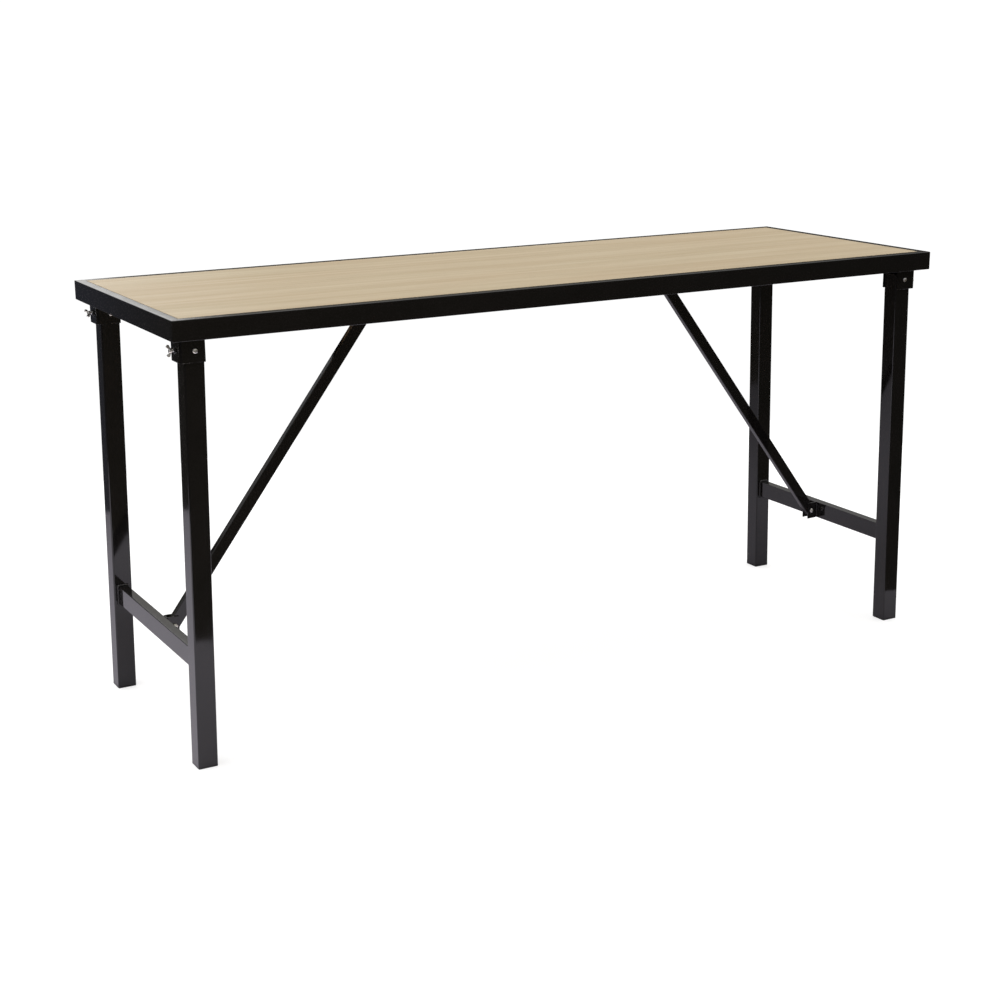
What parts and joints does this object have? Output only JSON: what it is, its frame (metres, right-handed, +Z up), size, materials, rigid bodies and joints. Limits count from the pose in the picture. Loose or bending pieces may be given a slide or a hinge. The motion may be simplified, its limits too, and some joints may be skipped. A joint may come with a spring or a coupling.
{
  "type": "folding work table",
  "caption": "Folding work table: a wooden top in a steel rim, on square steel legs that swing up under it, each pair held open by a diagonal brace.",
  "frame": {"origin": "on the floor, below the middle of the table", "axes": "+X along the table to the right, +Y across it to the back, +Z up; the front is at -Y"},
  "size_m": [1.8, 0.6, 0.885],
  "materials": {
    "black_paint": "gloss black stoving paint",
    "oak_laminate": "light oak laminate, satin",
    "bright_zinc": "bright zinc plating",
    "black_plastic": "moulded, slightly rough"
  },
  "bodies": {
    "table_frame": {"top_panel": "oak_laminate", "rail_front": "black_paint", "rail_back": "black_paint", "rail_left": "black_paint", "rail_right": "black_paint", "cross_member_outer_left": "black_paint", "cross_member_inner_left": "black_paint", "cross_member_inner_right": "black_paint", "cross_member_outer_right": "black_paint", "panel_screw_outer_left_front": "bright_zinc", "panel_screw_outer_left_back": "bright_zinc", "panel_screw_inner_left_front": "bright_zinc", "panel_screw_inner_left_back": "bright_zinc", "panel_screw_inner_right_front": "bright_zinc", "panel_screw_inner_right_back": "bright_zinc", "panel_screw_outer_right_front": "bright_zinc", "panel_screw_outer_right_back": "bright_zinc", "leg_bracket_front_left": "black_paint", "leg_bracket_back_left": "black_paint", "leg_bracket_front_right": "black_paint", "leg_bracket_back_right": "black_paint", "pivot_bolt_front_left": "bright_zinc", "pivot_bolt_back_left": "bright_zinc", "pivot_bolt_front_right": "bright_zinc", "pivot_bolt_back_right": "bright_zinc", "pivot_nut_front_left": "bright_zinc", "pivot_nut_back_left": "bright_zinc", "pivot_nut_front_right": "bright_zinc", "pivot_nut_back_right": "bright_zinc", "upper_fork_left": "black_paint", "upper_fork_right": "black_paint"},
    "leg_frame_left": {"leg_front_left": "black_paint", "leg_back_left": "black_paint", "foot_plug_front_left": "black_plastic", "foot_plug_back_left": "black_plastic", "crossbar_left": "black_paint", "lower_fork_left": "black_paint", "lower_bolt_left": "bright_zinc", "lower_nut_left": "bright_zinc"},
    "leg_frame_right": {"leg_front_right": "black_paint", "leg_back_right": "black_paint", "foot_plug_front_right": "black_plastic", "foot_plug_back_right": "black_plastic", "crossbar_right": "black_paint", "lower_fork_right": "black_paint", "lower_bolt_right": "bright_zinc", "lower_nut_right": "bright_zinc"},
    "brace_left": {"brace_left": "black_paint", "upper_bolt_left": "bright_zinc"},
    "upper_wing_nut_left": {"upper_wing_nut_left": "bright_zinc"},
    "brace_right": {"brace_right": "black_paint", "upper_bolt_right": "bright_zinc"},
    "upper_wing_nut_right": {"upper_wing_nut_right": "bright_zinc"},
    "wing_screw_front_left": {"wing_screw_front_left": "bright_zinc"},
    "wing_screw_back_left": {"wing_screw_back_left": "bright_zinc"},
    "wing_screw_front_right": {"wing_screw_front_right": "bright_zinc"},
    "wing_screw_back_right": {"wing_screw_back_right": "bright_zinc"}
  },
  "joints": [
    {"name": "leg_fold_right", "type": "hinge", "parent": "table_frame", "child": "leg_frame_right", "pos_m": [0.84998, 0, 0.822], "axis": [0, 1, 0], "range_deg": [0, 91.05]},
    {"name": "brace_swing_right", "type": "hinge", "parent": "leg_frame_right", "child": "brace_right", "pos_m": [0.83461, 0.0115, 0.21152], "axis": [0, -1, 0], "range_deg": [0, 144.19]},
    {"name": "upper_wing_nut_slide_right", "type": "slide", "parent": "brace_right", "child": "upper_wing_nut_right", "axis": [0, 1, 0], "range_m": [0, 0.002]},
    {"name": "leg_fold_left", "type": "hinge", "parent": "table_frame", "child": "leg_frame_left", "pos_m": [-0.84998, 0, 0.822], "axis": [0, -1, 0], "range_deg": [0, 91.05]},
    {"name": "brace_swing_left", "type": "hinge", "parent": "leg_frame_left", "child": "brace_left", "pos_m": [-0.83461, -0.0115, 0.21152], "axis": [0, 1, 0], "range_deg": [0, 144.19]},
    {"name": "upper_wing_nut_slide_left", "type": "slide", "parent": "brace_left", "child": "upper_wing_nut_left", "axis": [0, -1, 0], "range_m": [0, 0.002]},
    {"name": "wing_screw_slide_front_left", "type": "slide", "parent": "table_frame", "child": "wing_screw_front_left", "axis": [-1, 0, 0], "range_m": [-0.0033, 0.005]},
    {"name": "wing_screw_slide_back_left", "type": "slide", "parent": "table_frame", "child": "wing_screw_back_left", "axis": [-1, 0, 0], "range_m": [-0.0033, 0.005]},
    {"name": "wing_screw_slide_front_right", "type": "slide", "parent": "table_frame", "child": "wing_screw_front_right", "axis": [1, 0, 0], "range_m": [-0.0033, 0.005]},
    {"name": "wing_screw_slide_back_right", "type": "slide", "parent": "table_frame", "child": "wing_screw_back_right", "axis": [1, 0, 0], "range_m": [-0.0033, 0.005]}
  ],
  "couplings": [
    {"joint": "brace_swing_right", "follows": "leg_fold_right", "ratio": 1.5837},
    {"joint": "brace_swing_left", "follows": "leg_fold_left", "ratio": 1.5837}
  ]
}
